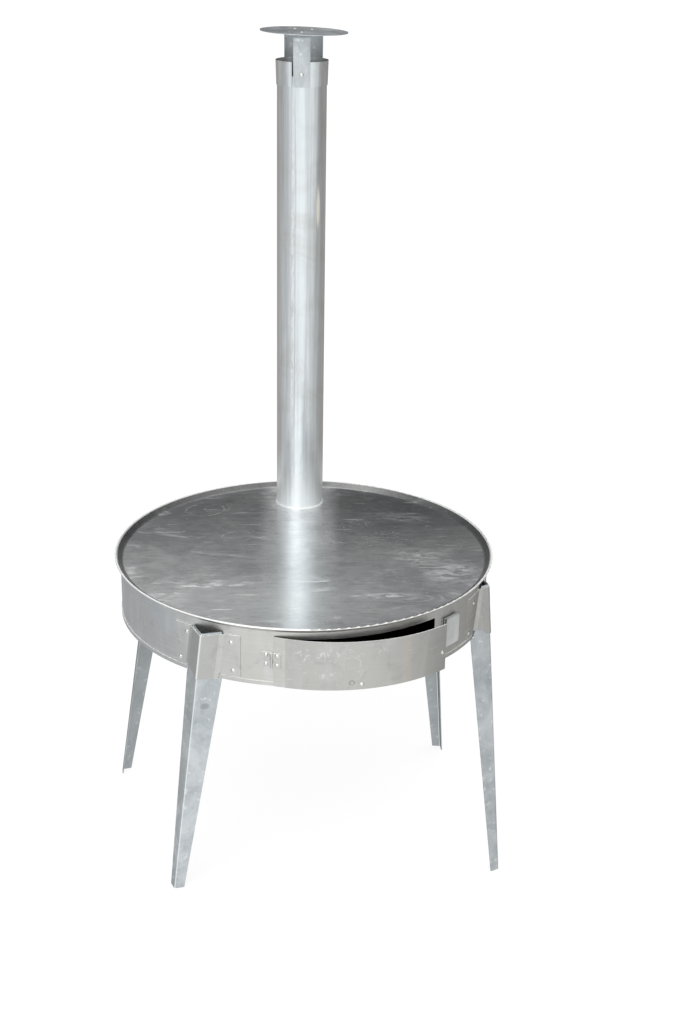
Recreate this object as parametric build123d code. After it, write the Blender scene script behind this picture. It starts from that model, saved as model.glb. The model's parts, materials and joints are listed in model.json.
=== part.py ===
from build123d import *
import os
from math import asin, atan2, cos, degrees, radians, sin, sqrt, tan

# A portable wood-fired griddle stove: a shallow sheet-steel drum on four plug-in legs, with a round
# griddle plate as its top, a curved fire door in its side and a tall flue with a rain cap.
#
# Lengths are millimetres and angles are degrees.  Z is up, the floor is Z = 0 and the drum's axis is
# the Z axis.  The flue stands at the back (+Y) and the fire door faces the front (-Y), a little to
# the right.  An azimuth is an angle about the drum's axis, from +X towards +Y.

# ---- Whole stove ----
TOTAL_HEIGHT = 1250.0          # floor to the highest point of the rain cap
RIM_HEIGHT = 476.0             # floor to the rim's upper edge
RIM_DIAMETER = 600.0           # over the flared rim

# ---- Drum: wall, floor tray and griddle plate ----
RIM_OVERHANG = 9.0             # outside of the straight wall to the rim's edge
DRUM_DEPTH = 96.0              # rim's upper edge down to the underside
DRUM_SHEET = 1.2
FLARE_HEIGHT = 9.0             # height over which the wall flares out to the rim
LIP_RADIUS = 1.6               # rolled edge of the rim
FLOOR_SHEET = 1.2
TRAY_HEIGHT = 6.0              # upstand of the floor tray round the outside of the wall
PLATE_SHEET = 1.5
PLATE_DEPTH = 9.0              # rim's upper edge down to the griddle surface
PLATE_EDGE_DROP = 2.0          # rim's upper edge down to the edge of the plate's upstand
PLATE_SEAT_GAP = 0.1           # between the plate's upstand and the flare that it lies in

# ---- Flue: spigot and pipe ----
FLUE_X = -10.0
FLUE_INSET = 79.0              # rim's rearmost edge to the flue's axis
FLUE_DIAMETER = 78.4
FLUE_SHEET = 0.8
SPIGOT_RISE = 40.0             # spigot inside the pipe, above the griddle surface
SPIGOT_BEAD_HEIGHT = 2.5
SPIGOT_BEAD_PROUD = 1.8        # beyond the outside of the pipe
SPIGOT_FLANGE = 7.0            # beyond the plate's hole, on its underside
SLIP_FIT = 0.3                 # radial clearance of sheet sleeves that slip together
SEAM_AZIMUTH = 253.0           # lock seam, seen from the flue's axis
SEAM_WIDTH = 5.0
SEAM_PROUD = 0.9

# ---- Rain cap ----
CAP_DIAMETER = 137.0
CAP_SHEET = 1.2
CAP_TILT = 1.4                 # the disc sits a little askew, low at the right
CAP_SHIFT = 2.8                # the disc's middle stands this far to the right of the flue's axis
CAP_GAP = 42.0                 # collar's upper edge to the underside of the disc
COLLAR_HEIGHT = 37.5
COLLAR_SHEET = 0.8
COLLAR_FLARE = 1.2             # growth in radius from the collar's lower edge to its upper edge
COLLAR_SLIT_GAP = 1.0          # each side of the pipe's lock seam
STRAP_AZIMUTHS = {"front": 270.0, "right": 58.0, "left": 114.0}
STRAP_WIDTH = 26.0
STRAP_SHEET = 1.2
STRAP_BEND = 6.0               # inside radius where a strap turns in under the disc
STRAP_TAB = 20.0               # length of the turned-in end
STRAP_RIVET_RISE = 18.5        # above the collar's lower edge
PIPE_STOP_GAP = 0.3            # pipe's end to the rivet tails that rest on it

# ---- Fire door and its hinge ----
OPENING_START = 262.8          # azimuths of the opening's two ends
OPENING_END = 312.2
OPENING_SILL = 9.0             # above the underside of the drum
OPENING_DROP = 20.5            # rim's upper edge down to the opening's upper edge
DOOR_SHEET = 1.2
DOOR_LAP = 2.2                 # azimuth by which the door passes the opening's end
DOOR_TOP_LAP = 4.0             # door's upper edge above the opening's, at the hinge
DOOR_TOP_FALL = 5.3            # from there down to its upper edge at the free end
DOOR_BOTTOM_RISE = 0.6         # above the underside of the drum
DOOR_BOW = 6.0                 # the door is bowed out this much more than the wall
DOOR_CLEARANCE = 0.3           # between the shut door and the floor tray's upstand
DOOR_AJAR = 5.2                # angle at which the door stands
DOOR_RIVET_INSET = 6.0         # last rivet from the door's free end
DOOR_RIVET_RISE = 30.0
DOOR_LOW_RIVET_AZIMUTH = 286.9
DOOR_LOW_RIVET_RISE = 8.0
HINGE_AZIMUTH = 261.4
HINGE_RISE = 42.0              # hinge's middle above the underside of the drum
HINGE_HEIGHT = 24.0
HINGE_LEAF_WIDTH = 14.0
HINGE_SHEET = 1.0
HINGE_BARREL_RADIUS = 2.4
HINGE_PIN_RADIUS = 1.1
HINGE_PIN_FIT = 0.05           # radial, in the door leaf's knuckles
HINGE_GAP = 0.4                # round a knuckle and between knuckles
HINGE_RIVET_OFFSET = 8.5       # from the pin, along the leaf
HINGE_RIVET_PITCH = 15.0

# ---- Turn-button latch ----
LATCH_AZIMUTH = 319.1
LATCH_WIDTH = 31.0
LATCH_SHEET = 1.2
LATCH_PIVOT_DROP = 34.0        # rim's upper edge down to its rivet
LATCH_RISE = 8.0               # rivet up to the bend
LATCH_BACK = 7.0               # rivet down to the end of the riveted part
LATCH_REACH = 39.0             # rivet down to the free end of the part in front
LATCH_STEP = 5.6                # offset of the part in front, so that it passes over the shut door
LATCH_BEND = 1.5               # inside radius of the two bends
LATCH_WALL_GAP = 0.8
LATCH_RIVET_RADIUS = 2.0
LATCH_RIVET_FIT = 0.05

# ---- Legs and leg sockets ----
# name: (azimuth, turn about its own length, splay outwards at the foot, lean sideways at the foot)
LEGS = {
    "front_left": (240.5, 4.0, 1.0, -49.0),
    "front_right": (339.0, 0.0, 51.0, -65.0),
    "rear_right": (44.0, 0.0, 1.0, -35.0),
    "rear_left": (149.0, 0.0, 15.0, 74.0),
}
LEG_SHEET = 1.5
LEG_HALF_ANGLE = 50.0          # between a flange and the middle plane of the folded leg
LEG_BEND = 2.0                 # inside radius of the leg's fold
LEG_FOOT_WIDTH = 15.5          # flange width at the floor
LEG_TOP_WIDTH = 43.0           # flange width at the leg's upper end, before it is cut to the wall
LEG_ABOVE_SOCKET = 3.0
LEG_WALL_GAP = 1.3
LEG_FIT = 0.3                  # between leg and socket, face to face
SOCKET_SHEET = 1.2
SOCKET_STANDOFF = 22.0         # leg's folded corner from the wall, at the socket's lower edge
SOCKET_TOP_DROP = 22.5         # rim's upper edge down to the socket's upper edge
SOCKET_BOTTOM_RISE = 1.0       # above the underside of the drum
SOCKET_NOTCH_RADIUS = 24.0     # round cut in the lower edge, on the side to which the leg leans
SOCKET_NOTCH_DROP = 12.0       # its centre below the underside of the drum
FLAP_WIDTH = 26.4              # along the wall, from the side of the fold to the flap's end
FLAP_RISE = 8.0                # flap's lower edge above the underside of the drum
FLAP_RIVETS = ((9.1, 12.5), (17.2, 57.5))  # (along the wall from the fold's side, drop from the top)

# ---- Rivets ----
RIVET_SHANK = 1.6
RIVET_HEAD = 3.4
RIVET_HEAD_HEIGHT = 1.7
RIVET_TAIL = 2.4
RIVET_TAIL_HEIGHT = 1.0
RIVET_TAIL_GAP = 0.05

# ---- Derived places ----
RIM_R = RIM_DIAMETER / 2
DRUM_R = RIM_R - RIM_OVERHANG
BASE_Z = RIM_HEIGHT - DRUM_DEPTH
TRAY_R = DRUM_R + FLOOR_SHEET
PLATE_Z = RIM_HEIGHT - PLATE_DEPTH
FLUE_R = FLUE_DIAMETER / 2
FLUE_Y = RIM_R - FLUE_INSET
SPIGOT_R = FLUE_R - FLUE_SHEET - SLIP_FIT
PIPE_FOOT_Z = PLATE_Z + SPIGOT_BEAD_HEIGHT
COLLAR_R = FLUE_R + SLIP_FIT + COLLAR_SHEET
CAP_R = CAP_DIAMETER / 2
CAP_RIVET_R = COLLAR_R + COLLAR_FLARE - STRAP_BEND - STRAP_TAB / 3
EDGE_RISE = (CAP_R - CAP_SHIFT) * sin(radians(CAP_TILT))
HEAD_RISE = RIVET_HEAD_HEIGHT + CAP_RIVET_R * sin(radians(CAP_TILT)) / 2
DISC_Z = TOTAL_HEIGHT - CAP_SHEET - max(EDGE_RISE, HEAD_RISE)
COLLAR_TOP_Z = DISC_Z - CAP_GAP
COLLAR_BASE_Z = COLLAR_TOP_Z - COLLAR_HEIGHT
STRAP_RIVET_Z = COLLAR_BASE_Z + STRAP_RIVET_RISE
PIPE_TOP_Z = STRAP_RIVET_Z - RIVET_TAIL - PIPE_STOP_GAP
HINGE_Z = BASE_Z + HINGE_RISE
HINGE_R = DRUM_R + HINGE_GAP + HINGE_BARREL_RADIUS
DOOR_R = TRAY_R + DOOR_CLEARANCE
DOOR_BASE_Z = BASE_Z + DOOR_BOTTOM_RISE
DOOR_TOP_Z = RIM_HEIGHT - OPENING_DROP + DOOR_TOP_LAP
LATCH_Z = RIM_HEIGHT - LATCH_PIVOT_DROP
LATCH_R = DRUM_R + LATCH_WALL_GAP
SOCKET_BASE_Z = BASE_Z + SOCKET_BOTTOM_RISE
SOCKET_TOP_Z = RIM_HEIGHT - SOCKET_TOP_DROP
LEG_TOP_Z = SOCKET_TOP_Z + LEG_ABOVE_SOCKET
FOLD_WALL = (LEG_FIT + SOCKET_SHEET) / sin(radians(LEG_HALF_ANGLE))
FOLD_HALF_WIDTH = (SOCKET_STANDOFF + FOLD_WALL) * tan(radians(LEG_HALF_ANGLE))
FAR = 4 * RIM_R                # larger than anything that a cutting shape has to reach


# ---- Shared shapes ----
def polar(radius, azimuth, z=0.0):
    """A point given by its distance and azimuth from the drum's axis."""
    return Vector(radius * cos(radians(azimuth)), radius * sin(radians(azimuth)), z)


def facing(azimuth, z, centre=Vector(0, 0, 0)):
    """A plane on an upright axis, its normal pointing outwards and its own y axis pointing up."""
    return Plane(origin=centre + Vector(0, 0, z), x_dir=polar(1, azimuth + 90), z_dir=polar(1, azimuth))


def sheet_outline(points, thickness):
    """Corners of a bent sheet's section: a line of points and the same line, thickness to its left."""
    normals = []
    for (x0, y0), (x1, y1) in zip(points, points[1:]):
        length = sqrt((x1 - x0) ** 2 + (y1 - y0) ** 2)
        normals.append(((y0 - y1) / length, (x1 - x0) / length))
    before = [normals[0]] + normals
    after = normals + [normals[-1]]
    other = []
    for (x, y), (ax, ay), (bx, by) in zip(points, before, after):
        scale = thickness / (1 + ax * bx + ay * by)
        other.append((x + scale * (ax + bx), y + scale * (ay + by)))
    return list(points) + other[::-1]


def section(points):
    """A flat face in the XZ plane from (radius, height) corners."""
    return make_face(Plane.XZ * Polyline(*points, close=True))


def swept(face, start=0.0, end=360.0):
    """A section turned about the Z axis from one azimuth to another."""
    return Rot(Z=start) * revolve(face, Axis.Z, end - start)


def sector(r_in, r_out, z_low, z_high, start=0.0, end=360.0):
    """A piece of tube between two azimuths."""
    corners = [(r_in, z_low), (r_out, z_low), (r_out, z_high), (r_in, z_high)]
    return swept(section(corners), start, end)


def post(radius, z_low, z_high):
    """An upright cylinder on the Z axis."""
    return Pos(0, 0, z_low) * Cylinder(radius, z_high - z_low, align=(Align.CENTER, Align.CENTER, Align.MIN))


def slab(z_low, z_high):
    """Everything between two heights."""
    return Pos(0, 0, z_low) * Box(FAR, FAR, z_high - z_low, align=(Align.CENTER, Align.CENTER, Align.MIN))


def rivet(frame, seat, grip):
    """A domed rivet along the frame's normal, with its head on the seat and its tail behind the grip."""
    ball = (RIVET_HEAD ** 2 + RIVET_HEAD_HEIGHT ** 2) / (2 * RIVET_HEAD_HEIGHT)
    dome = Pos(0, 0, seat + RIVET_HEAD_HEIGHT - ball) * Sphere(ball)
    dome &= post(RIVET_HEAD + 1, seat, seat + 2 * RIVET_HEAD_HEIGHT)
    tail_face = seat - grip - RIVET_TAIL_GAP
    shank = post(RIVET_SHANK, tail_face - RIVET_TAIL_HEIGHT, seat)
    tail = post(RIVET_TAIL, tail_face - RIVET_TAIL_HEIGHT, tail_face)
    return frame * (dome + shank + tail)


def rivet_hole(frame, seat, grip):
    """The hole that a rivet's shank fills."""
    return frame * post(RIVET_SHANK, seat - 2 * grip - 1, seat + 1)


def group(pieces):
    """Identical fasteners as one node of separate solids."""
    return Compound(children=[piece.solid() for piece in pieces])


# ---- Drum ----
def drum_wall():
    lip_r = RIM_R - LIP_RADIUS
    lip_z = RIM_HEIGHT - LIP_RADIUS
    line = [(DRUM_R, BASE_Z + FLOOR_SHEET), (DRUM_R, RIM_HEIGHT - FLARE_HEIGHT), (lip_r, lip_z)]
    wall = swept(section(sheet_outline(line, DRUM_SHEET)))
    wall += swept(Plane.XZ * Pos(lip_r, lip_z) * Circle(LIP_RADIUS))
    opening_top = RIM_HEIGHT - OPENING_DROP
    wall -= sector(DRUM_R / 2, RIM_R, BASE_Z + OPENING_SILL, opening_top, OPENING_START, OPENING_END)
    for frame in hinge_rivet_frames():
        wall -= rivet_hole(frame, DRUM_R + HINGE_SHEET, HINGE_SHEET + DRUM_SHEET)
    for name in LEGS:
        for frame in socket_rivet_frames(name):
            wall -= rivet_hole(frame, DRUM_R + SOCKET_SHEET, SOCKET_SHEET + DRUM_SHEET)
    return wall - facing(LATCH_AZIMUTH, LATCH_Z) * post(LATCH_RIVET_RADIUS, DRUM_R / 2, RIM_R)


def drum_floor():
    line = [(0, BASE_Z), (TRAY_R, BASE_Z), (TRAY_R, BASE_Z + TRAY_HEIGHT)]
    return swept(section(sheet_outline(line, FLOOR_SHEET)))


def griddle_plate():
    rise_r = RIM_R - LIP_RADIUS - DRUM_R
    rise_z = FLARE_HEIGHT - LIP_RADIUS
    slope = sqrt(rise_r ** 2 + rise_z ** 2)
    offset = DRUM_SHEET + PLATE_SEAT_GAP
    seat_r = DRUM_R - offset * rise_z / slope
    seat_z = RIM_HEIGHT - FLARE_HEIGHT + offset * rise_r / slope
    under_z = PLATE_Z - PLATE_SHEET
    edge_z = RIM_HEIGHT - PLATE_EDGE_DROP
    corner_r = seat_r - (seat_z - under_z) * rise_r / rise_z
    edge_r = seat_r + (edge_z - seat_z) * rise_r / rise_z
    line = [(0, under_z), (corner_r, under_z), (edge_r, edge_z)]
    plate = swept(section(sheet_outline(line, PLATE_SHEET)))
    return plate - Pos(FLUE_X, FLUE_Y) * post(SPIGOT_R, under_z - 1, PLATE_Z + 1)


# ---- Flue ----
def flue_spigot():
    bore = SPIGOT_R - FLUE_SHEET
    under_z = PLATE_Z - PLATE_SHEET
    bead_r = FLUE_R + SPIGOT_BEAD_PROUD
    flange_r = SPIGOT_R + SPIGOT_FLANGE
    tube = section([
        (bore, under_z - FLUE_SHEET), (flange_r, under_z - FLUE_SHEET), (flange_r, under_z),
        (SPIGOT_R, under_z), (SPIGOT_R, PLATE_Z), (bead_r, PLATE_Z),
        (bead_r, PLATE_Z + SPIGOT_BEAD_HEIGHT / 2), (bead_r - SPIGOT_BEAD_HEIGHT / 2, PIPE_FOOT_Z),
        (SPIGOT_R, PIPE_FOOT_Z), (SPIGOT_R, PLATE_Z + SPIGOT_RISE), (bore, PLATE_Z + SPIGOT_RISE),
    ])
    return Pos(FLUE_X, FLUE_Y) * swept(tube)


def flue_pipe():
    half_seam = degrees(SEAM_WIDTH / 2 / FLUE_R)
    pipe = sector(FLUE_R - FLUE_SHEET, FLUE_R, PIPE_FOOT_Z, PIPE_TOP_Z)
    pipe += sector(FLUE_R - FLUE_SHEET / 2, FLUE_R + SEAM_PROUD, PIPE_FOOT_Z, PIPE_TOP_Z,
                   SEAM_AZIMUTH - half_seam, SEAM_AZIMUTH + half_seam)
    return Pos(FLUE_X, FLUE_Y) * pipe


# ---- Rain cap ----
def collar_radius(z):
    """Outside of the collar, which flares a little towards its upper edge."""
    return COLLAR_R + COLLAR_FLARE * (z - COLLAR_BASE_Z) / COLLAR_HEIGHT


def strap_rivet_frames():
    return [facing(azimuth, STRAP_RIVET_Z) for azimuth in STRAP_AZIMUTHS.values()]


def strap_seat():
    """Outside of a strap at the height of its rivet, and the two sheets that the rivet clamps."""
    return collar_radius(STRAP_RIVET_Z) + STRAP_SHEET + 0.1, STRAP_SHEET + COLLAR_SHEET + 0.2


def disc_rivet_frames():
    """Upright frames on the disc's own underside, one for each strap's turned-in end."""
    return [Plane(origin=polar(CAP_RIVET_R, azimuth)) for azimuth in STRAP_AZIMUTHS.values()]


def on_disc(shape):
    """Takes a shape made on a level disc at Z = 0 to the tilted disc on top of the flue."""
    return Pos(FLUE_X, FLUE_Y, DISC_Z) * Rot(Y=CAP_TILT) * shape


def cap_collar():
    half_slit = degrees((SEAM_WIDTH / 2 + COLLAR_SLIT_GAP) / FLUE_R)
    line = [(COLLAR_R, COLLAR_BASE_Z), (COLLAR_R + COLLAR_FLARE, COLLAR_TOP_Z)]
    collar = swept(section(sheet_outline(line, COLLAR_SHEET)),
                   SEAM_AZIMUTH + half_slit, SEAM_AZIMUTH + 360 - half_slit)
    for frame in strap_rivet_frames():
        collar -= rivet_hole(frame, *strap_seat())
    return Pos(FLUE_X, FLUE_Y) * collar


def cap_strap(azimuth):
    top_r = COLLAR_R + COLLAR_FLARE
    tab_r = top_r - STRAP_TAB
    drop = (top_r + tab_r) / 2 * cos(radians(azimuth)) * tan(radians(CAP_TILT))
    tab_z = DISC_Z - drop - STRAP_SHEET
    line = [(COLLAR_R, COLLAR_BASE_Z), (top_r, COLLAR_TOP_Z), (top_r, tab_z), (tab_r, tab_z)]
    inside = FilletPolyline(*line, radius=[STRAP_TAB, STRAP_BEND])
    offset = sheet_outline(line, -STRAP_SHEET)[len(line):][::-1]
    outside = FilletPolyline(*offset, radius=[STRAP_TAB, STRAP_BEND + STRAP_SHEET])
    ends = Line(inside @ 0, outside @ 0) + Line(inside @ 1, outside @ 1)
    half = degrees(STRAP_WIDTH / 2 / top_r)
    strap = swept(make_face(Plane.XZ * (inside + outside + ends)), azimuth - half, azimuth + half)
    strap -= rivet_hole(facing(azimuth, STRAP_RIVET_Z), *strap_seat())
    strap = Pos(FLUE_X, FLUE_Y) * strap - on_disc(slab(0, CAP_GAP))
    for frame in disc_rivet_frames():
        strap -= on_disc(rivet_hole(frame, CAP_SHEET, CAP_SHEET + STRAP_SHEET))
    return strap


def cap_disc():
    disc = Pos(CAP_SHIFT, 0) * post(CAP_R, 0, CAP_SHEET)
    for frame in disc_rivet_frames():
        disc -= rivet_hole(frame, CAP_SHEET, CAP_SHEET + STRAP_SHEET)
    return on_disc(disc)


def cap_strap_rivets():
    seat, grip = strap_seat()
    return group([Pos(FLUE_X, FLUE_Y) * rivet(frame, seat, grip) for frame in strap_rivet_frames()])


def cap_disc_rivets():
    grip = CAP_SHEET + STRAP_SHEET + 0.4
    return group([on_disc(rivet(frame, CAP_SHEET, grip)) for frame in disc_rivet_frames()])


# ---- Fire door ----
def door_curve():
    """The shut door's own arc: its centre, inside radius, middle azimuth and half angle."""
    start = HINGE_AZIMUTH + degrees((HINGE_BARREL_RADIUS + HINGE_GAP) / DOOR_R)
    end = OPENING_END + DOOR_LAP
    middle = (start + end) / 2
    half = radians((end - start) / 2)
    chord = DOOR_R * sin(half)
    height = DOOR_R * (1 - cos(half)) + DOOR_BOW
    radius = (chord ** 2 + height ** 2) / (2 * height)
    centre = polar(DOOR_R * cos(half) + height - radius, middle)
    return centre, radius, middle, degrees(asin(chord / radius))


def ajar(shape):
    """Turns a piece of the shut door out to the angle at which the door stands."""
    return shape.rotate(Axis(polar(HINGE_R, HINGE_AZIMUTH), (0, 0, 1)), -DOOR_AJAR)


def door_frame(azimuth, z):
    """A plane on the shut door's arc, its normal pointing out of the door."""
    centre, radius, middle, half = door_curve()
    spot = polar(DOOR_R, azimuth) - centre
    turn = degrees(atan2(spot.Y, spot.X))
    return facing(turn, z, centre)


def above_door(centre, radius, middle, half):
    """Everything above the door's upper edge, which was cut to fall towards the free end."""
    start = centre + polar(radius, middle - half, DOOR_TOP_Z)
    end = centre + polar(radius, middle + half, DOOR_TOP_Z - DOOR_TOP_FALL)
    along = (end - start).normalized()
    cut = Plane(origin=start, x_dir=along, z_dir=polar(1, middle).cross(along))
    return cut * Box(FAR, FAR, FAR, align=(Align.CENTER, Align.CENTER, Align.MIN))


def door_rivet_frames():
    end = OPENING_END + DOOR_LAP - degrees(DOOR_RIVET_INSET / DOOR_R)
    return [door_frame(end, BASE_Z + DOOR_RIVET_RISE),
            door_frame(DOOR_LOW_RIVET_AZIMUTH, BASE_Z + DOOR_LOW_RIVET_RISE)]


def hinge_rivet_frames(side=-1):
    """Frames of the rivets through the drum's hinge leaf (side -1) or the door's (side 1)."""
    azimuth = HINGE_AZIMUTH + side * degrees(HINGE_RIVET_OFFSET / DRUM_R)
    heights = [HINGE_Z - HINGE_RIVET_PITCH / 2, HINGE_Z + HINGE_RIVET_PITCH / 2]
    if side < 0:
        return [facing(azimuth, z) for z in heights]
    return [door_frame(azimuth, z) for z in heights]


def door_panel():
    centre, radius, middle, half = door_curve()
    outside = radius + DOOR_SHEET
    panel = Pos(*centre) * sector(radius, outside, DOOR_BASE_Z, DOOR_TOP_Z, middle - half, middle + half)
    panel -= above_door(centre, radius, middle, half)
    for frame in door_rivet_frames():
        panel -= rivet_hole(frame, outside, DOOR_SHEET)
    for frame in hinge_rivet_frames(1):
        panel -= rivet_hole(frame, outside + HINGE_SHEET, DOOR_SHEET + HINGE_SHEET)
    return ajar(panel)


def door_rivets():
    radius = door_curve()[1]
    return group([ajar(rivet(frame, radius + DOOR_SHEET, DOOR_SHEET)) for frame in door_rivet_frames()])


def knuckle_heights():
    """The hinge's length shared by three knuckles: the middle one is the drum leaf's."""
    low = HINGE_Z - HINGE_HEIGHT / 2
    third = HINGE_HEIGHT / 3
    gap = HINGE_GAP / 2
    return [(low, low + third - gap), (low + third + gap, low + 2 * third - gap),
            (low + 2 * third + gap, low + HINGE_HEIGHT)]


def hinge_leaf(plate, own, other, bore):
    """A leaf with its own knuckles, cleared round the other leaf's knuckles and bored for the pin."""
    at_pin = Pos(*polar(HINGE_R, HINGE_AZIMUTH))
    for low, high in own:
        plate += at_pin * post(HINGE_BARREL_RADIUS, low, high)
    for low, high in other:
        plate -= at_pin * post(HINGE_BARREL_RADIUS + HINGE_GAP, low - HINGE_GAP, high + HINGE_GAP)
    return plate - at_pin * post(bore, 0, TOTAL_HEIGHT)


def hinge_leaf_drum():
    low, middle, high = knuckle_heights()
    start = HINGE_AZIMUTH - degrees(HINGE_LEAF_WIDTH / DRUM_R)
    plate = sector(DRUM_R, DRUM_R + HINGE_SHEET, low[0], high[1], start, HINGE_AZIMUTH)
    leaf = hinge_leaf(plate, [middle], [low, high], HINGE_PIN_RADIUS)
    for frame in hinge_rivet_frames():
        leaf -= rivet_hole(frame, DRUM_R + HINGE_SHEET, HINGE_SHEET + DRUM_SHEET)
    return leaf


def hinge_leaf_door():
    low, middle, high = knuckle_heights()
    centre, radius, bisector, half = door_curve()
    seat = radius + DOOR_SHEET
    pin = polar(HINGE_R, HINGE_AZIMUTH) - centre
    start = degrees(atan2(pin.Y, pin.X)) % 360
    end = start + degrees(HINGE_LEAF_WIDTH / radius)
    plate = Pos(*centre) * sector(seat, seat + HINGE_SHEET, low[0], high[1], start, end)
    leaf = hinge_leaf(plate, [low, high], [middle], HINGE_PIN_RADIUS + HINGE_PIN_FIT)
    for frame in hinge_rivet_frames(1):
        leaf -= rivet_hole(frame, seat + HINGE_SHEET, DOOR_SHEET + HINGE_SHEET)
    return ajar(leaf)


def hinge_pin():
    low, middle, high = knuckle_heights()
    return Pos(*polar(HINGE_R, HINGE_AZIMUTH)) * post(HINGE_PIN_RADIUS, low[0], high[1])


def hinge_rivets_drum():
    grip = HINGE_SHEET + DRUM_SHEET
    return group([rivet(frame, DRUM_R + HINGE_SHEET, grip) for frame in hinge_rivet_frames()])


def hinge_rivets_door():
    seat = door_curve()[1] + DOOR_SHEET + HINGE_SHEET
    grip = HINGE_SHEET + DOOR_SHEET
    return group([ajar(rivet(frame, seat, grip)) for frame in hinge_rivet_frames(1)])


# ---- Latch ----
def latch_tab():
    """A sheet bent over like a clip: its back is riveted to the wall, its front hangs before it."""
    line = [(LATCH_R, -LATCH_BACK), (LATCH_R, LATCH_RISE),
            (LATCH_R + LATCH_STEP, LATCH_RISE), (LATCH_R + LATCH_STEP, -LATCH_REACH)]
    outside = FilletPolyline(*line, radius=LATCH_BEND + LATCH_SHEET)
    offset = sheet_outline(line, -LATCH_SHEET)[len(line):][::-1]
    inside = FilletPolyline(*offset, radius=LATCH_BEND)
    ends = Line(inside @ 0, outside @ 0) + Line(inside @ 1, outside @ 1)
    tab = extrude(make_face(Plane.XZ * (inside + outside + ends)), LATCH_WIDTH / 2, both=True)
    bore = post(LATCH_RIVET_RADIUS + LATCH_RIVET_FIT, LATCH_R - LATCH_SHEET, LATCH_R + 2 * LATCH_SHEET)
    return Pos(0, 0, LATCH_Z) * Rot(Z=LATCH_AZIMUTH) * (tab - Rot(Y=90) * bore)


def latch_rivet():
    seat = LATCH_R + LATCH_SHEET + LATCH_RIVET_FIT
    ball = (RIVET_HEAD ** 2 + RIVET_HEAD_HEIGHT ** 2) / (2 * RIVET_HEAD_HEIGHT)
    dome = Pos(0, 0, seat + RIVET_HEAD_HEIGHT - ball) * Sphere(ball)
    dome &= post(RIVET_HEAD + 1, seat, seat + 2 * RIVET_HEAD_HEIGHT)
    tail_face = DRUM_R - DRUM_SHEET - RIVET_TAIL_GAP
    shank = post(LATCH_RIVET_RADIUS, tail_face - RIVET_TAIL_HEIGHT, seat)
    tail = post(RIVET_HEAD, tail_face - RIVET_TAIL_HEIGHT, tail_face)
    return facing(LATCH_AZIMUTH, LATCH_Z) * (dome + shank + tail)


# ---- Legs and sockets ----
def leg_frame(name):
    """Origin on the leg's folded corner at the socket's lower edge, x out of the fold, z up the leg."""
    azimuth, turn, splay, lean = LEGS[name]
    corner = polar(DRUM_R + SOCKET_STANDOFF, azimuth, SOCKET_BASE_Z)
    foot = polar(DRUM_R + SOCKET_STANDOFF + splay, azimuth) + polar(lean, azimuth + 90)
    up = (corner - foot).normalized()
    out = polar(1, azimuth + turn)
    out = (out - up * out.dot(up)).normalized()
    return Plane(origin=corner, x_dir=out, z_dir=up)


def fold_section(width):
    """Section of the folded leg: two flanges that meet at the origin and open towards -x."""
    half = radians(LEG_HALF_ANGLE)
    inner = (-LEG_SHEET / sin(half), 0)
    sides = []
    for side in (1, -1):
        tip = (-width * cos(half), side * width * sin(half))
        back = (tip[0] - LEG_SHEET * sin(half), tip[1] - side * LEG_SHEET * cos(half))
        sides.append((tip, back))
    (tip_a, back_a), (tip_b, back_b) = sides
    face = make_face(Polyline((0, 0), tip_a, back_a, inner, back_b, tip_b, close=True))
    face = fillet(corner_near(face, (0, 0)), LEG_BEND + LEG_SHEET)
    return fillet(corner_near(face, inner), LEG_BEND)


def corner_near(face, spot):
    """The corner of a flat face that is nearest to a point."""
    return sorted(face.vertices(), key=lambda corner: (corner.center() - Vector(*spot)).length)[0]


def leg(name):
    frame = leg_frame(name)
    slope = frame.z_dir.Z
    foot_s = -SOCKET_BASE_Z / slope
    top_s = (LEG_TOP_Z - SOCKET_BASE_Z) / slope
    growth = (LEG_TOP_WIDTH - LEG_FOOT_WIDTH) / (top_s - foot_s)
    ends = []
    for along in (foot_s - LEG_FOOT_WIDTH, top_s + LEG_FOOT_WIDTH):
        width = LEG_FOOT_WIDTH + growth * (along - foot_s)
        ends.append(frame * Pos(0, 0, along) * fold_section(width))
    body = loft(ends, ruled=True) & slab(0, LEG_TOP_Z)
    return body - post(TRAY_R + LEG_WALL_GAP, BASE_Z - LEG_WALL_GAP, RIM_HEIGHT)


def wedge(frame, clearance):
    """The solid wedge that fills a fold, its faces the given clearance outside the leg's faces."""
    half = radians(LEG_HALF_ANGLE)
    apex = clearance / sin(half)
    depth = 3 * SOCKET_STANDOFF
    points = [(apex, 0), (apex - depth, depth * tan(half)), (apex - depth, -depth * tan(half))]
    face = make_face(Polyline(*points, close=True))
    face = fillet(corner_near(face, points[0]), LEG_BEND + LEG_SHEET + clearance)
    return frame * extrude(face, DRUM_DEPTH, both=True)


def corner_azimuth(name, z):
    """Azimuth of the leg's folded corner at a height, which follows the leg's sideways lean."""
    frame = leg_frame(name)
    spot = frame.origin + frame.z_dir * ((z - SOCKET_BASE_Z) / frame.z_dir.Z)
    return degrees(atan2(spot.Y, spot.X))


def socket_rivet_frames(name):
    frames = []
    for along, drop in FLAP_RIVETS:
        z = SOCKET_TOP_Z - drop
        offset = degrees((FOLD_HALF_WIDTH + along) / DRUM_R)
        for side in (-1, 1):
            frames.append(facing(corner_azimuth(name, z) + side * offset, z))
    return frames


def socket_notch(name):
    """The round cut in the lower edge of one side of the socket's fold."""
    azimuth = LEGS[name][0]
    side = 1 if LEGS[name][3] > 0 else -1
    frame = Plane(origin=polar(DRUM_R, azimuth, BASE_Z - SOCKET_NOTCH_DROP), x_dir=(0, 0, 1),
                  z_dir=polar(side, azimuth + 90))
    return frame * post(SOCKET_NOTCH_RADIUS, 1.2 * (LEG_BEND + LEG_SHEET), 3 * SOCKET_STANDOFF)


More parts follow.
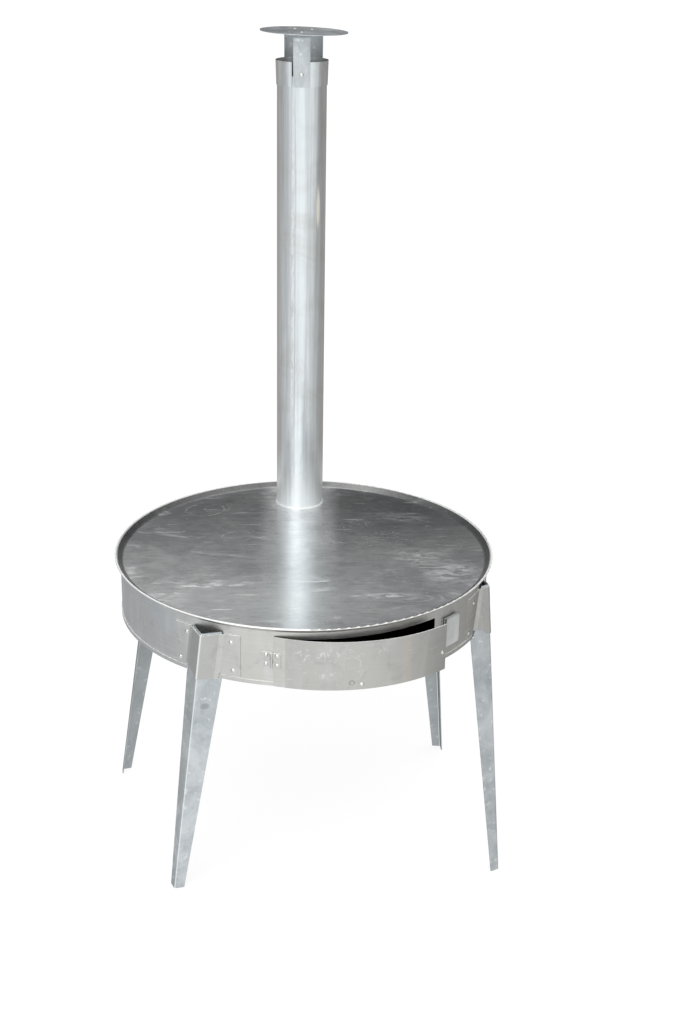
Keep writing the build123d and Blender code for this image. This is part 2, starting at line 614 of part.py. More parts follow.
def leg_socket(name):
    azimuth = corner_azimuth(name, (SOCKET_BASE_Z + SOCKET_TOP_Z) / 2)
    half = degrees((FOLD_HALF_WIDTH + FLAP_WIDTH) / DRUM_R)
    frame = leg_frame(name)
    pocket = wedge(frame, LEG_FIT)
    fold = (wedge(frame, LEG_FIT + SOCKET_SHEET) - pocket) & slab(0, SOCKET_TOP_Z)
    fold -= frame * Box(FAR, FAR, FAR, align=(Align.CENTER, Align.CENTER, Align.MAX))
    fold -= socket_notch(name)
    fold -= post(DRUM_R, 0, RIM_HEIGHT)
    fold -= post(TRAY_R + DOOR_CLEARANCE, 0, BASE_Z + FLAP_RISE)
    flaps = sector(DRUM_R, DRUM_R + SOCKET_SHEET, BASE_Z + FLAP_RISE, SOCKET_TOP_Z,
                   azimuth - half, azimuth + half)
    socket = fold + (flaps - pocket)
    for rivet_frame in socket_rivet_frames(name):
        socket -= rivet_hole(rivet_frame, DRUM_R + SOCKET_SHEET, SOCKET_SHEET + DRUM_SHEET)
    return socket


def socket_rivets(name):
    grip = SOCKET_SHEET + DRUM_SHEET
    return group([rivet(frame, DRUM_R + SOCKET_SHEET, grip) for frame in socket_rivet_frames(name)])


def stove():
    """Every piece of the stove by name."""
    pieces = {
        "drum_wall": drum_wall(),
        "drum_floor": drum_floor(),
        "griddle_plate": griddle_plate(),
        "flue_spigot": flue_spigot(),
        "flue_pipe": flue_pipe(),
        "cap_collar": cap_collar(),
        "cap_disc": cap_disc(),
        "cap_strap_rivets": cap_strap_rivets(),
        "cap_disc_rivets": cap_disc_rivets(),
        "door_panel": door_panel(),
        "door_rivets": door_rivets(),
        "hinge_leaf_drum": hinge_leaf_drum(),
        "hinge_leaf_door": hinge_leaf_door(),
        "hinge_pin": hinge_pin(),
        "hinge_rivets_drum": hinge_rivets_drum(),
        "hinge_rivets_door": hinge_rivets_door(),
        "latch_tab": latch_tab(),
        "latch_rivet": latch_rivet(),
    }
    for side, azimuth in STRAP_AZIMUTHS.items():
        pieces["cap_strap_" + side] = cap_strap(azimuth)
    for name in LEGS:
        pieces["leg_" + name] = leg(name)
        pieces["leg_socket_" + name] = leg_socket(name)
        pieces["socket_rivets_" + name] = socket_rivets(name)
    return pieces


os.makedirs("parts", exist_ok=True)
for node, shape in stove().items():
    export_step(shape, "parts/" + node + ".step")
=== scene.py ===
import json
from math import cos, radians, sin

import bpy
from mathutils import Matrix, Vector


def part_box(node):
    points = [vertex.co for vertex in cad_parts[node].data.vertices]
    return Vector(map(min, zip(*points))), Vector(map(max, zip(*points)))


# A portable wood-fired griddle stove in a pale studio.  Lengths are metres, in the CAD's own frame:
# Z up, the floor at Z = 0, the drum's axis on the Z axis, the flue at +Y and the fire door at -Y.

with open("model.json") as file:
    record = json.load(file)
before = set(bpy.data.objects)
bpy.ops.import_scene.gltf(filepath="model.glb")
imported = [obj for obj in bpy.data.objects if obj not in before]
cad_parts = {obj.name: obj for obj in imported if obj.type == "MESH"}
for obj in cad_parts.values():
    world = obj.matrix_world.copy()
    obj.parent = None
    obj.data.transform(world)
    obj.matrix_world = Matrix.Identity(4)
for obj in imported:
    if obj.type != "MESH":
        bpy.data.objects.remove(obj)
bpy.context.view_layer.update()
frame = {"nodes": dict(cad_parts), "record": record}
NODES = frame["nodes"]
LEGS = ("front_left", "front_right", "rear_right", "rear_left")

# ---- Places read from the frame ----
floor_low, floor_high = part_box("drum_floor")
spigot_low, spigot_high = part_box("flue_spigot")
plate_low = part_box("griddle_plate")[0]
TRAY_R = (floor_high.x - floor_low.x) / 2
FLUE_AXIS = (spigot_low + spigot_high) / 2
FLUE_R = (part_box("flue_pipe")[1].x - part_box("flue_pipe")[0].x) / 2
SHEET = 0.0012                      # thickness of the drum's sheet
PLATE_SHEET = 0.0015                # thickness of the griddle plate
PLATE_Z = plate_low.z + PLATE_SHEET
RIM_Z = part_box("drum_wall")[1].z
SOCKET_MIDS = [sum(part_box("leg_socket_" + name), Vector()) / 2 for name in LEGS]
FOLD_WAYS = [Vector((mid.x, mid.y, 0)).normalized() for mid in SOCKET_MIDS]
LATCH_LOW, LATCH_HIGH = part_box("latch_tab")

# ---- Limits between the regions of one sheet ----
SOOT_R = TRAY_R - 1.6 * SHEET       # surfaces nearer the drum's axis than this are inside the fire
PROUD_R = TRAY_R + 4 * SHEET        # surfaces further out than this stand off the wall
FOLD_R = TRAY_R + 12 * SHEET        # the sockets' folds are further out than this, the bowed door is not
FOLD_FACING = (0.945, 0.985)        # cosines between which a fold begins and ends to face outward
UP = (0.0, 0.0, 1.0)
FRONT = (0.0, -1.0, 0.0)

# ---- Camera ----
CAMERA_AT = Vector((0.0163, -2.3301, 1.4777))
CAMERA_PITCH = radians(22.0)
CAMERA_YAW = radians(1.12)
CAMERA_ROLL = radians(0.96)
CAMERA_LENS = 55.8
CAMERA_SENSOR = 36.0

# ---- Studio ----
FLOOR_SIZE = 120.0
FLOOR_Z = -0.0005                   # just below the feet
FLOOR_TONES = ((0.14, 0.14, 0.14), (0.16, 0.16, 0.16))
FLOOR_GLOW = 0.88
WALL_R = 55.0
WALL_TONES = ((1.0, 1.0, 1.0), (0.985, 0.985, 0.985))
WALL_GLOW = 0.97

# The room's light, away from the front: (height of the direction that it comes from, level).
ROOM = (
    (-1.0, 1.0),
    (-0.70, 0.62),
    (-0.40, 0.44),
    (0.0, 0.40),
    (0.12, 0.20),
    (0.22, 0.08),
    (0.33, 0.035),
    (0.42, 0.07),
    (0.52, 0.24),
    (0.66, 0.50),
    (1.0, 0.95),
)
FRONT_LIGHT = (1.0441, 1.0547, 1.06)
LEFT_LIGHT = (0.86, 0.93, 1.0)
LEFT_SHARE = 0.14


class Graph:
    """Builds one material's nodes.  A value given as a number or colour is set on the socket itself."""

    def __init__(self, name, tree=None):
        if tree is None:
            self.material = bpy.data.materials.new(name)
            self.material.use_nodes = True
            tree = self.material.node_tree
            self.shader = tree.nodes["Principled BSDF"]
        self.tree = tree

    def put(self, socket, value):
        if isinstance(value, bpy.types.NodeSocket):
            self.tree.links.new(value, socket)
        else:
            socket.default_value = value

    def node(self, kind, settings=(), **inputs):
        """Adds a node.  Its inputs are given by name, or by place as i0, i1 and so on."""
        made = self.tree.nodes.new(kind)
        for key, value in dict(settings).items():
            setattr(made, key, value)
        for key, value in inputs.items():
            by_place = key[0] == "i" and key[1:].isdigit()
            self.put(made.inputs[int(key[1:]) if by_place else key], value)
        return made

    # Numbers

    def math(self, operation, a, b=0.0, clamp=False):
        settings = {"operation": operation, "use_clamp": clamp}
        return self.node("ShaderNodeMath", settings, i0=a, i1=b).outputs[0]

    def times(self, a, b):
        return self.math("MULTIPLY", a, b)

    def minus(self, a, b, clamp=False):
        return self.math("SUBTRACT", a, b, clamp)

    def over(self, value, limit):
        """1 above the limit and 0 below it."""
        return self.math("GREATER_THAN", value, limit)

    def under(self, value, limit):
        """1 below the limit and 0 above it."""
        return self.math("LESS_THAN", value, limit)

    def joined(self, operation, values):
        found = values[0]
        for value in values[1:]:
            found = self.math(operation, found, value)
        return found

    def most(self, values):
        return self.joined("MAXIMUM", values)

    def strongest(self, shares):
        """The greatest of several values, each times its own strength: (value, strength)."""
        return self.most([self.times(value, strength) for value, strength in shares])

    def total(self, shares):
        """The sum of several values, each times its own strength: (value, strength)."""
        return self.joined("ADD", [self.times(value, strength) for value, strength in shares])

    def span(self, value, low, high, to_low=0.0, to_high=1.0):
        """A smooth step, from to_low at low to to_high at high."""
        settings = {"clamp": True, "interpolation_type": "SMOOTHSTEP"}
        ends = {"From Min": low, "From Max": high, "To Min": to_low, "To Max": to_high}
        return self.node("ShaderNodeMapRange", settings, Value=value, **ends).outputs[0]

    # Places

    def coords(self):
        return self.node("ShaderNodeTexCoord").outputs["Object"]

    def axes(self, vector):
        """The three parts of a vector."""
        return tuple(self.node("ShaderNodeSeparateXYZ", Vector=vector).outputs)

    def vector_math(self, operation, a, b=(0, 0, 0)):
        return self.node("ShaderNodeVectorMath", {"operation": operation}, i0=a, i1=b).outputs

    def scaled(self, vector, scale, turn=(0, 0, 0)):
        return self.node("ShaderNodeMapping", Vector=vector, Scale=scale, Rotation=turn).outputs[0]

    def round_coords(self, vector, centre, radius):
        """(length round the axis from the front, distance from the axis, height) and the last two."""
        at_x, at_y, height = self.axes(vector)
        x = self.minus(at_x, centre.x)
        y = self.minus(centre.y, at_y)
        arc = self.times(self.math("ARCTAN2", x, y), radius)
        out = self.math("SQRT", self.total([(x, x), (y, y)]))
        return self.node("ShaderNodeCombineXYZ", X=arc, Y=out, Z=height).outputs[0], out, height

    # Patterns and masks

    def noise(self, vector, scale=1.0, detail=3.0, rough=0.55, distortion=0.0):
        return self.node("ShaderNodeTexNoise", Vector=vector, Scale=scale, Detail=detail,
                         Roughness=rough, Distortion=distortion).outputs["Fac"]

    def stretched(self, vector, scales, detail, rough, distortion=0.0):
        """Noise with its own scale along each axis."""
        return self.noise(self.scaled(vector, scales), 1.0, detail, rough, distortion)

    def scratches(self, vector, kinds):
        """Sparse thin lines.  Each kind is (scales, turn in degrees, low, high)."""
        found = []
        for scales, turn, low, high in kinds:
            drawn = self.scaled(vector, scales, tuple(radians(angle) for angle in turn))
            found.append(self.span(self.noise(drawn, detail=1.0, rough=0.4), low, high))
        return self.most(found)

    def patch(self, vector, centre, half, turn, soft):
        """1 inside an ellipsoid, falling to 0 beyond it.  The turn is about Z, in degrees."""
        moved = self.vector_math("SUBTRACT", vector, centre)[0]
        if turn:
            moved = self.scaled(moved, (1, 1, 1), (0, 0, radians(-turn)))
        near = self.scaled(moved, tuple(1 / size for size in half))
        far = self.vector_math("LENGTH", near)["Value"]
        return self.span(far, 1 + soft, 1 - soft)

    def wall_patches(self, round_at, radius, marks, soft):
        """Marks on a round wall: (degrees round from the front, height), half sizes round and up."""
        flat_at = self.vector_math("MULTIPLY", round_at, (1, 0, 1))[0]
        return self.most([self.patch(flat_at, (radians(angle) * radius, 0, height), (along, 1, up), 0.0, soft)
                          for (angle, height), (along, up) in marks])

    def facing(self, directions, low, high):
        """1 where the surface faces one of the directions."""
        normal = self.node("ShaderNodeTexCoord").outputs["Normal"]
        near = [self.vector_math("DOT_PRODUCT", normal, way)["Value"] for way in directions]
        return self.span(self.most(near), low, high)

    # Colours and the surface

    def mix(self, fac, a, b, blend="MIX"):
        """Mixes two colours, which this kind of node takes at its inputs 6 and 7."""
        made = self.node("ShaderNodeMix", {"data_type": "RGBA", "blend_type": blend}, i0=fac)
        for place, colour in ((6, a), (7, b)):
            self.put(made.inputs[place], colour + (1.0,) if isinstance(colour, tuple) else colour)
        return made.outputs[2]

    def layered(self, base, layers):
        """The base colour with layers laid over it in turn: (mask, strength, colour)."""
        for mask, strength, colour in layers:
            base = self.mix(self.times(mask, strength), base, colour)
        return base

    def finish(self, colour, roughness, height, bump, depth, metal=1.0):
        """Joins the patterns up to the shader of a metal surface."""
        self.put(self.shader.inputs["Metallic"], metal)
        self.put(self.shader.inputs["Base Color"], colour)
        self.put(self.shader.inputs["Roughness"], roughness)
        relief = self.node("ShaderNodeBump", Strength=bump, Distance=depth, Height=height)
        self.put(self.shader.inputs["Normal"], relief.outputs[0])
        return self.material


# ---- Griddle plate ----
# Streaks of pale haze: centre, half sizes, turn in degrees, strength.
PLATE_HAZE = (
    ((-0.135, -0.131), (0.052, 0.007), 8.0, 0.9),
    ((-0.205, -0.175), (0.030, 0.020), 0.0, 0.4),
    ((0.120, -0.163), (0.042, 0.009), 4.0, 0.7),
    ((0.235, -0.075), (0.045, 0.035), 20.0, 0.6),
    ((0.185, -0.020), (0.050, 0.030), -15.0, 0.45),
    ((-0.243, 0.159), (0.014, 0.010), 0.0, 0.9),
    ((0.160, 0.150), (0.050, 0.020), -10.0, 0.35),
)
# Places with pale dots: centre, half sizes.
PLATE_SPECKS = (
    ((0.137, 0.058), (0.040, 0.030)),
    ((0.080, 0.115), (0.035, 0.020)),
    ((0.030, 0.060), (0.030, 0.050)),
)
# Thin scoured rings: centre, radius.
PLATE_SWIRLS = (
    ((-0.170, 0.175), 0.034),
    ((-0.150, 0.182), 0.022),
    ((-0.110, 0.060), 0.026),
)
SWIRL_FLATNESS = 0.8
SWIRL_INNER = 0.95
SWIRL_TURN = 20.0
# The well-scoured corner in front: centre, half sizes, turn in degrees.
PLATE_WORN = ((-0.13, -0.20), (0.16, 0.07), 10.0)
MARK_DEPTH = 0.01                   # half height of a mark on the plate
# Lines left by scouring: scales, turn in degrees, low, high.
PLATE_SCRATCHES = (
    ((14.0, 260.0, 260.0), (0, 0, 10), 0.74, 0.78),
    ((16.0, 280.0, 280.0), (0, 0, -22), 0.75, 0.79),
    ((18.0, 300.0, 300.0), (0, 0, 63), 0.75, 0.79),
)
PLATE_ANISOTROPY = 0.87


def plate_steel():
    """Heat-darkened griddle steel, scoured from side to side, with painted shade to the back and right and a
    painted reflection of the flue.
    """
    g = Graph("griddle_steel")
    at = g.coords()
    x, y, z = g.axes(at)

    def spot(centre, half, turn, soft):
        return g.patch(at, centre + (PLATE_Z,), half + (MARK_DEPTH,), turn, soft)

    cloud = g.noise(at, 6.0, 5.0, 0.6, 0.9)
    mottle = g.noise(at, 38.0, 4.0, 0.65, 0.6)
    fine = g.stretched(at, (40.0, 620.0, 620.0), 4.0, 0.6)
    broad = g.stretched(at, (5.0, 30.0, 5.0), 4.0, 0.6, 0.8)
    haze = g.span(g.stretched(at, (9.0, 24.0, 9.0), 5.0, 0.65, 1.2), 0.56, 0.80)
    torn = g.span(g.stretched(at, (40.0, 130.0, 40.0), 4.0, 0.7, 0.8), 0.42, 0.62)
    streaks = g.strongest([(spot(centre, half, turn, 0.6), power) for centre, half, turn, power in PLATE_HAZE])
    dots = g.span(g.noise(at, 300.0, 2.0, 0.5), 0.60, 0.70)
    dotted = g.most([spot(centre, half, 0.0, 0.5) for centre, half in PLATE_SPECKS])
    few_dots = g.span(g.noise(at, 210.0, 1.0, 0.5), 0.735, 0.77)
    swirls = []
    for centre, radius in PLATE_SWIRLS:
        whole, core = [spot(centre, (size, size * SWIRL_FLATNESS), SWIRL_TURN, 0.05)
                       for size in (radius, radius * SWIRL_INNER)]
        swirls.append(g.minus(whole, core, True))
    light = g.strongest([
        (haze, 0.34),
        (g.times(streaks, torn), 0.50),
        (g.times(g.most(swirls), torn), 0.35),
        (g.scratches(at, PLATE_SCRATCHES), 0.35),
        (g.times(dots, dotted), 0.40),
        (few_dots, 0.30),
    ])

    # Painted shade darkens the plate to the back and the right.  The strip in front of the flue stays pale as
    # a painted reflection of the flue.
    flue_reflection = g.span(g.math("ABSOLUTE", g.minus(x, FLUE_AXIS.x)), 0.9 * FLUE_R, 1.9 * FLUE_R, 1.0, 0.0)
    before = g.span(y, FLUE_AXIS.y - 5 * FLUE_R, FLUE_AXIS.y - FLUE_R, 1.0, 0.0)
    shade = g.math("ADD", g.span(y, -0.18, 0.24, 0.0, 0.60), g.span(x, -0.10, 0.20, 0.0, 0.16))
    # Painted shade on the plate's upturned edge, in the recess inside the rim.
    upstand = g.span(z, PLATE_Z + SHEET, PLATE_Z + 2 * SHEET)

    base = g.mix(g.span(cloud, 0.3, 0.7), (0.54, 0.55, 0.575), (0.80, 0.805, 0.81))
    base = g.layered(base, [
        (g.span(mottle, 0.42, 0.68), 0.42, (0.42, 0.42, 0.43)),
        (g.span(broad, 0.40, 0.7), 0.22, (0.82, 0.83, 0.84)),
        (g.span(fine, 0.3, 0.75), 0.18, (0.92, 0.93, 0.94)),
        # painted shade to the back and right, then the painted reflection of the flue
        (shade, g.minus(1.0, flue_reflection), (0.03, 0.03, 0.032)),
        (flue_reflection, g.times(before, 0.30), (0.93, 1.0, 1.0)),
        (spot(*PLATE_WORN, 0.7), 0.55, (0.97, 1.0, 1.0)),
        (light, 1.0, (1.0, 1.0, 1.0)),
        # painted shade on the upturned edge
        (upstand, 0.70, (0.20, 0.20, 0.20)),
    ])
    rough = g.total([(g.span(fine, 0.2, 0.8, 0.26, 0.33), 1.0), (light, 0.38)])
    height = g.total([(fine, 0.06), (cloud, 0.6)])
    g.shader.inputs["Anisotropic"].default_value = PLATE_ANISOTROPY
    depth_way = g.node("ShaderNodeCombineXYZ", X=0.0, Y=1.0, Z=0.0).outputs[0]
    g.put(g.shader.inputs["Tangent"], depth_way)
    return g.finish(base, rough, height, bump=0.05, depth=0.0006)


# ---- Drum: wall, floor, door, hinge and sockets ----
# Marks on the wall and the door: (degrees round from the front, height), half sizes round and up.
WARM_TINTS = (((28.8, 0.418), (0.007, 0.050)),)
WALL_SCUFFS = (
    ((2.6, 0.436), (0.030, 0.010)),
    ((9.5, 0.437), (0.022, 0.012)),
    ((14.5, 0.422), (0.012, 0.020)),
    ((6.0, 0.405), (0.020, 0.006)),
    ((21.0, 0.440), (0.008, 0.006)),
)
RING_AT = (13.5, 0.392)
RING_R = 0.0042
RING_INNER = 0.62
# Scales, turn in degrees, low, high.
WALL_SCRATCHES = (
    ((16.0, 300.0, 300.0), (0, 7, 0), 0.70, 0.74),
    ((60.0, 300.0, 300.0), (0, 57, 0), 0.72, 0.77),
)


def wall_steel():
    """Cold-rolled sheet: rolling marks along its length, smudges and light stains, soot inside, with painted
    highlights and painted shade.
    """
    g = Graph("drum_steel")
    at = g.coords()
    x = g.axes(at)[0]
    round_at, out, height_z = g.round_coords(at, Vector((0, 0, 0)), TRAY_R)

    cloud = g.noise(at, 9.0, 5.0, 0.6, 0.8)
    upright = g.stretched(round_at, (38.0, 38.0, 7.0), 4.0, 0.6, 0.8)
    fine = g.stretched(round_at, (12.0, 520.0, 520.0), 4.0, 0.6)
    smudge = g.span(g.noise(at, 30.0, 5.0, 0.65, 1.0), 0.5, 0.75)
    torn = g.span(g.stretched(round_at, (120.0, 120.0, 90.0), 4.0, 0.7, 0.8), 0.52, 0.66)
    warm = g.wall_patches(round_at, TRAY_R, WARM_TINTS, 0.8)
    scuffs = g.times(g.wall_patches(round_at, TRAY_R, WALL_SCUFFS, 0.7), torn)
    whole, core = [g.wall_patches(round_at, TRAY_R, ((RING_AT, (size, size)),), soft)
                   for size, soft in ((RING_R, 0.15), (RING_R * RING_INNER, 0.2))]
    light = g.strongest([(g.scratches(round_at, WALL_SCRATCHES), 0.30), (scuffs, 0.65)])
    # Painted cool light: the left side of the drum is tinted blue.
    cool_painted_light = g.span(x, -0.25, -0.08, 1.0, 0.0)
    # Painted shade: the right side of the drum is darker.
    right_painted_shade = g.span(x, 0.10, 0.27)

    # Painted highlight: faces that look up, the rolled lip and the sockets' folds are painted pale.  Painted
    # shade: other proud faces are painted darker.
    upper = g.facing([UP], 0.55, 0.90)
    lip = g.times(g.facing([UP], -0.2, 0.5), g.span(height_z, RIM_Z - 3 * SHEET, RIM_Z - 2 * SHEET))
    # Painted shade on proud faces that don't look up.
    proud_painted_shade = g.times(g.over(out, PROUD_R), g.minus(1.0, upper))
    ridge = g.times(g.facing(FOLD_WAYS, *FOLD_FACING), g.over(out, FOLD_R))
    bright = g.strongest([(ridge, 0.6), (upper, 1.0), (lip, 0.85)])

    # painted cool light on the left side
    base = g.mix(cool_painted_light, (0.605, 0.60, 0.575), (0.57, 0.595, 0.62))
    base = g.layered(base, [
        # painted shade on the right side
        (right_painted_shade, 0.55, (0.46, 0.455, 0.43)),
        (g.span(cloud, 0.35, 0.65), 0.45, (0.56, 0.555, 0.535)),
        (g.span(upright, 0.45, 0.72), 0.35, (0.76, 0.76, 0.75)),
        (smudge, 0.45, (0.42, 0.42, 0.41)),
        (warm, 0.40, (0.74, 0.64, 0.56)),
        (g.span(fine, 0.35, 0.75), 0.16, (0.85, 0.84, 0.82)),
        (g.minus(whole, core, True), 0.75, (0.25, 0.25, 0.24)),
        (light, 1.0, (0.95, 0.95, 0.93)),
        # painted shade on proud faces
        (proud_painted_shade, 0.28, (0.30, 0.30, 0.29)),
        # painted highlight on faces that look up, the lip and the folds
        (bright, 0.9, (1.0, 1.0, 0.985)),
    ])
    rough = g.total([(g.span(fine, 0.2, 0.8, 0.33, 0.43), 1.0), (smudge, 0.12), (bright, 0.10)])

    inside = g.under(out, SOOT_R)
    under_plate = g.under(height_z, plate_low.z + SHEET / 2)
    above_floor = g.over(height_z, floor_low.z + SHEET / 2)
    soot = g.times(inside, g.times(under_plate, above_floor))
    base = g.mix(soot, base, (0.012, 0.011, 0.010))
    rough = g.math("MAXIMUM", rough, g.times(soot, 0.85))
    height = g.total([(fine, 0.4), (cloud, 3.0), (upright, 1.2)])
    return g.finish(base, rough, height, bump=0.20, depth=0.0010, metal=g.minus(1.0, g.times(bright, 0.7)))


# ---- Flue: spigot, pipe and the cap's collar ----
# Marks on the pipe: (degrees round from the front, height), half sizes round and up.
SEAM_STREAK = (((-19.0, 0.860), (0.0028, 0.300)),)
FLUE_STAINS = (((44.0, 0.980), (0.0035, 0.030)),)
FOOT_LIGHT_HEIGHT = 3.2 * FLUE_R          # the painted light on the pipe's foot fades out at this height over the plate


def flue_steel():
    """Bright rolled sheet, drawn along the pipe, with a painted cool highlight where it faces the front and
    painted warmer shade where it turns away.
    """
    g = Graph("flue_steel")
    at = g.coords()
    round_at, _, height_z = g.round_coords(at, FLUE_AXIS, FLUE_R)

    fine = g.stretched(round_at, (420.0, 420.0, 7.0), 4.0, 0.6)
    bands = g.stretched(round_at, (75.0, 75.0, 1.6), 3.0, 0.6, 0.4)
    cloud = g.noise(at, 16.0, 4.0, 0.6, 0.7)
    dents = g.stretched(at, (34.0, 34.0, 18.0), 3.0, 0.5, 0.5)
    torn = g.span(g.stretched(at, (260.0, 260.0, 70.0), 4.0, 0.6), 0.35, 0.60)
    seam = g.times(g.wall_patches(round_at, FLUE_R, SEAM_STREAK, 0.5), torn)
    stains = g.wall_patches(round_at, FLUE_R, FLUE_STAINS, 0.4)
    # Painted light: the pipe's foot just above the plate is painted pale.
    foot_painted_light = g.span(height_z, PLATE_Z, PLATE_Z + FOOT_LIGHT_HEIGHT, 1.0, 0.0)

    banding = g.span(bands, 0.35, 0.68)
    # Painted light: cool and pale where the pipe faces the front, warm and darker where it turns away.
    cool_painted_light = g.mix(banding, (0.60, 0.635, 0.65), (0.80, 0.85, 0.87))
    warm = g.mix(banding, (0.58, 0.565, 0.54), (0.74, 0.725, 0.70))
    base = g.mix(g.facing([FRONT], 0.35, 0.95), warm, cool_painted_light)
    base = g.layered(base, [
        (g.span(cloud, 0.45, 0.72), 0.35, (0.50, 0.485, 0.46)),
        (g.span(fine, 0.5, 0.75), 0.5, (0.93, 0.95, 0.95)),
        (seam, 0.45, (1.0, 1.0, 1.0)),
        (stains, 0.85, (0.80, 0.77, 0.68)),
        # painted light at the pipe's foot
        (foot_painted_light, 0.75, (0.86, 0.90, 0.91)),
    ])
    rough = g.total([(g.span(fine, 0.2, 0.8, 0.28, 0.40), 1.0), (g.span(cloud, 0.5, 0.8), 0.10)])
    height = g.total([(fine, 0.5), (bands, 2.4), (dents, 3.2)])
    metal = g.minus(1.0, g.strongest([(stains, 0.5), (foot_painted_light, 0.65)]))
    return g.finish(base, rough, height, bump=0.26, depth=0.0010, metal=metal)


# ---- Galvanised sheet: legs, turn-button, cap disc and straps ----
# Dark stains on the legs: centre, radius.
LEG_STAINS = (
    ((-0.1430, -0.2650, 0.332), 0.0065),
    ((-0.1600, -0.2720, 0.250), 0.0040),
    ((0.3220, -0.1650, 0.300), 0.0040),
)
STAIN_FLATNESS = 0.8
LATCH_SHARE = 0.8                   # half sizes of the pale region round the latch, over its whole sizes


def galvanised():
    """Dull zinc-coated sheet: faint spangle, pale oxide spots and dents."""
    g = Graph("galvanised_sheet")
    at = g.coords()
    _, y, z = g.axes(at)

    cells = g.node("ShaderNodeTexVoronoi", {"feature": "F1"}, Vector=at, Scale=150.0, Randomness=1.0)
    grain = g.axes(cells.outputs["Color"])[0]
    cloud = g.noise(at, 17.0, 5.0, 0.65, 0.9)
    streak = g.stretched(at, (140.0, 140.0, 9.0), 3.0, 0.6)
    spots = g.span(g.noise(at, 95.0, 2.0, 0.5), 0.62, 0.70)
    stains = g.most([g.patch(at, centre, (radius, radius, STAIN_FLATNESS * radius), 0.0, 0.4)
                     for centre, radius in LEG_STAINS])

    # The rear legs stand in the drum's shade.  The latch and the legs' folds catch the light.
    low_down = g.under(z, RIM_Z)
    rear = g.times(g.span(y, -0.02, 0.14), low_down)
    ridge = g.times(g.facing(FOLD_WAYS, *FOLD_FACING), low_down)
    latch_half = tuple((LATCH_HIGH - LATCH_LOW) * LATCH_SHARE)
    latch = g.patch(at, (LATCH_LOW + LATCH_HIGH) / 2, latch_half, 0.0, 0.1)

    base = g.mix(g.span(cloud, 0.3, 0.7), (0.42, 0.455, 0.475), (0.66, 0.695, 0.71))
    base = g.layered(base, [
        (grain, 0.18, (0.82, 0.85, 0.86)),
        (g.span(streak, 0.4, 0.75), 0.25, (0.70, 0.72, 0.73)),
        (spots, 0.5, (0.90, 0.92, 0.92)),
        (rear, 0.42, (0.10, 0.11, 0.115)),
        (stains, 0.5, (0.22, 0.23, 0.235)),
        (latch, 0.55, (0.98, 0.98, 0.95)),
        (ridge, 0.75, (0.97, 1.0, 1.0)),
    ])
    rough = g.total([(g.span(cloud, 0.3, 0.7, 0.40, 0.52), 1.0), (grain, 0.06)])
    height = g.total([(cloud, 3.0), (streak, 0.4)])
    return g.finish(base, rough, height, bump=0.15, depth=0.0009)


def rivet_metal():
    """Clean bright rivets."""
    g = Graph("rivet_metal")
    cloud = g.noise(g.coords(), 160.0, 3.0, 0.6)
    base = g.mix(g.span(cloud, 0.3, 0.7), (0.62, 0.62, 0.60), (0.82, 0.82, 0.80))
    return g.finish(base, g.span(cloud, 0.3, 0.7, 0.25, 0.40), cloud, bump=0.15, depth=0.0004)


SKINS = {
    "griddle_steel": plate_steel(),
    "drum_steel": wall_steel(),
    "flue_steel": flue_steel(),
    "galvanised_sheet": galvanised(),
    "rivet_metal": rivet_metal(),
}


def dress_nodes():
    """Gives every CAD node the finish of its own material slot."""
    for part in frame["record"]["subparts"]:
        node = NODES[part["node"]]
        node.data.materials.clear()
        node.data.materials.append(SKINS[part["material_slot"]])


def pale_floor():
    """A pale floor and a pale wall all round it.  The metal reflects the studio's own light instead."""
    bpy.ops.mesh.primitive_plane_add(size=FLOOR_SIZE, location=(0, 0, FLOOR_Z))
    plane = bpy.context.object
    plane.name = "studio_floor"
    g = Graph("studio_floor")
    g.put(g.shader.inputs["Base Color"], g.mix(g.noise(g.coords(), 0.7), *FLOOR_TONES))
    g.shader.inputs["Roughness"].default_value = 0.9
    g.shader.inputs["Specular IOR Level"].default_value = 0.1
    g.shader.inputs["Emission Color"].default_value = (1, 1, 1, 1)
    g.shader.inputs["Emission Strength"].default_value = FLOOR_GLOW
    plane.data.materials.append(g.material)
    plane.visible_glossy = False

    bpy.ops.mesh.primitive_uv_sphere_add(segments=48, ring_count=24, radius=WALL_R)
    dome = bpy.context.object
    dome.name = "studio_wall"
    g = Graph("studio_wall")
    g.shader.inputs["Base Color"].default_value = (0, 0, 0, 1)
    g.put(g.shader.inputs["Emission Color"], g.mix(g.noise(g.coords(), 0.05), *WALL_TONES))
    g.shader.inputs["Emission Strength"].default_value = WALL_GLOW
    dome.data.materials.append(g.material)
    for kind in ("glossy", "diffuse", "shadow", "transmission"):
        setattr(dome, "visible_" + kind, False)


def sun(name, azimuth, elevation, strength, angle, colour, gloss=True):
    """A soft light at infinity, so that the floor is lit evenly.  Angles are in degrees."""
    lamp = bpy.data.lights.new(name, "SUN")
    lamp.energy = strength
    lamp.angle = radians(angle)
    lamp.color = colour
    made = bpy.data.objects.new(name, lamp)
    bpy.context.scene.collection.objects.link(made)
    a, e = radians(azimuth), radians(elevation)
    toward = Vector((cos(a) * cos(e), sin(a) * cos(e), sin(e)))
    made.rotation_mode = "QUATERNION"
    made.rotation_quaternion = toward.to_track_quat("Z", "Y")
    made.visible_glossy = gloss


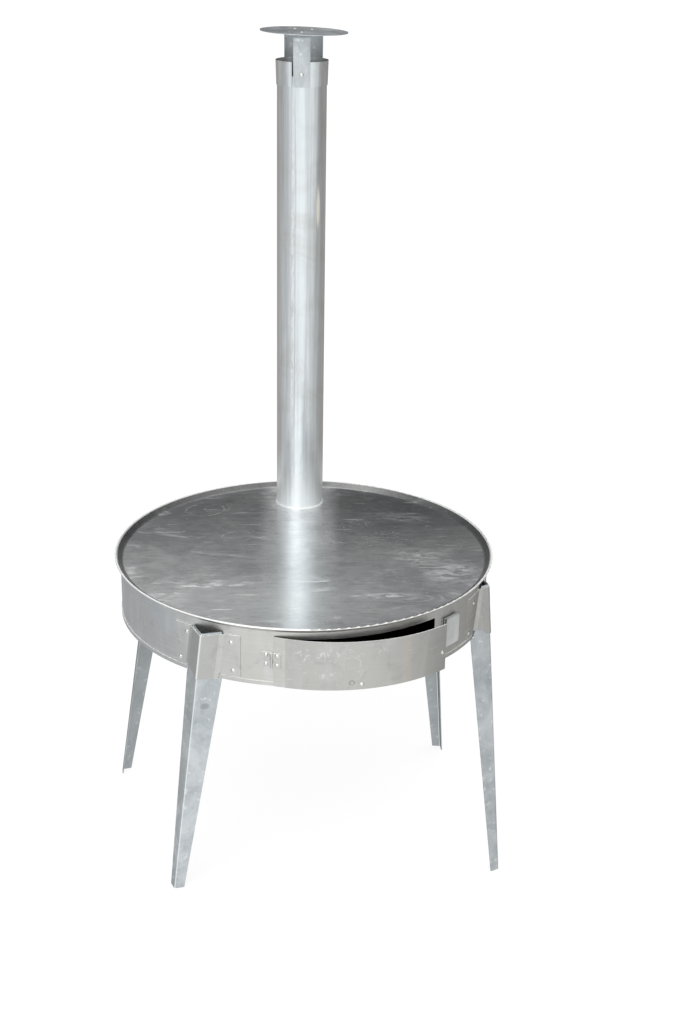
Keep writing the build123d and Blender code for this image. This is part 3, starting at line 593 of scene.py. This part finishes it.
def studio():
    """An even room: bright at the front, darker at the sides and low at the back, pale overhead."""
    world = bpy.data.worlds.new("studio")
    bpy.context.scene.world = world
    world.use_nodes = True
    g = Graph("studio", world.node_tree)
    x, y, z = g.axes(g.node("ShaderNodeTexCoord").outputs["Generated"])
    rise = g.math("ADD", g.times(z, 0.5), 0.5)
    ramp = g.node("ShaderNodeValToRGB", Fac=rise)
    stops = ramp.color_ramp.elements
    while len(stops) < len(ROOM):
        stops.new(0.5)
    for stop, (place, level) in zip(stops, ROOM):
        stop.position = (place + 1) / 2
        stop.color = (level, level, level, 1)
    front = g.span(g.times(y, -1.0), -0.15, 0.95)
    left = g.span(g.times(x, -1.0), 0.2, 1.0, 0.0, LEFT_SHARE)
    room = g.mix(left, ramp.outputs[0], LEFT_LIGHT, "ADD")
    background = world.node_tree.nodes["Background"]
    g.put(background.inputs["Color"], g.mix(front, room, FRONT_LIGHT))
    background.inputs["Strength"].default_value = 1.0
    sun("key", azimuth=250.0, elevation=50.0, strength=1.3, angle=40.0, colour=(1.0, 0.995, 0.98))
    sun("fill", azimuth=20.0, elevation=60.0, strength=0.6, angle=50.0, colour=(1.0, 0.99, 0.98), gloss=False)


def camera():
    """The camera looks down by its pitch, and to the right of +Y by its yaw."""
    forward = Vector((sin(CAMERA_YAW) * cos(CAMERA_PITCH), cos(CAMERA_YAW) * cos(CAMERA_PITCH),
                      -sin(CAMERA_PITCH)))
    level = Vector((cos(CAMERA_YAW), -sin(CAMERA_YAW), 0))
    upright = level.cross(forward)
    right = level * cos(CAMERA_ROLL) + upright * sin(CAMERA_ROLL)
    up = upright * cos(CAMERA_ROLL) - level * sin(CAMERA_ROLL)
    data = bpy.data.cameras.new("camera")
    data.lens = CAMERA_LENS
    data.sensor_width = CAMERA_SENSOR
    made = bpy.data.objects.new("camera", data)
    bpy.context.scene.collection.objects.link(made)
    turn = Matrix((right, up, -forward)).transposed().to_4x4()
    made.matrix_world = Matrix.Translation(CAMERA_AT) @ turn
    bpy.context.scene.camera = made


dress_nodes()
pale_floor()
studio()
camera()
bpy.context.scene.view_settings.view_transform = "Standard"
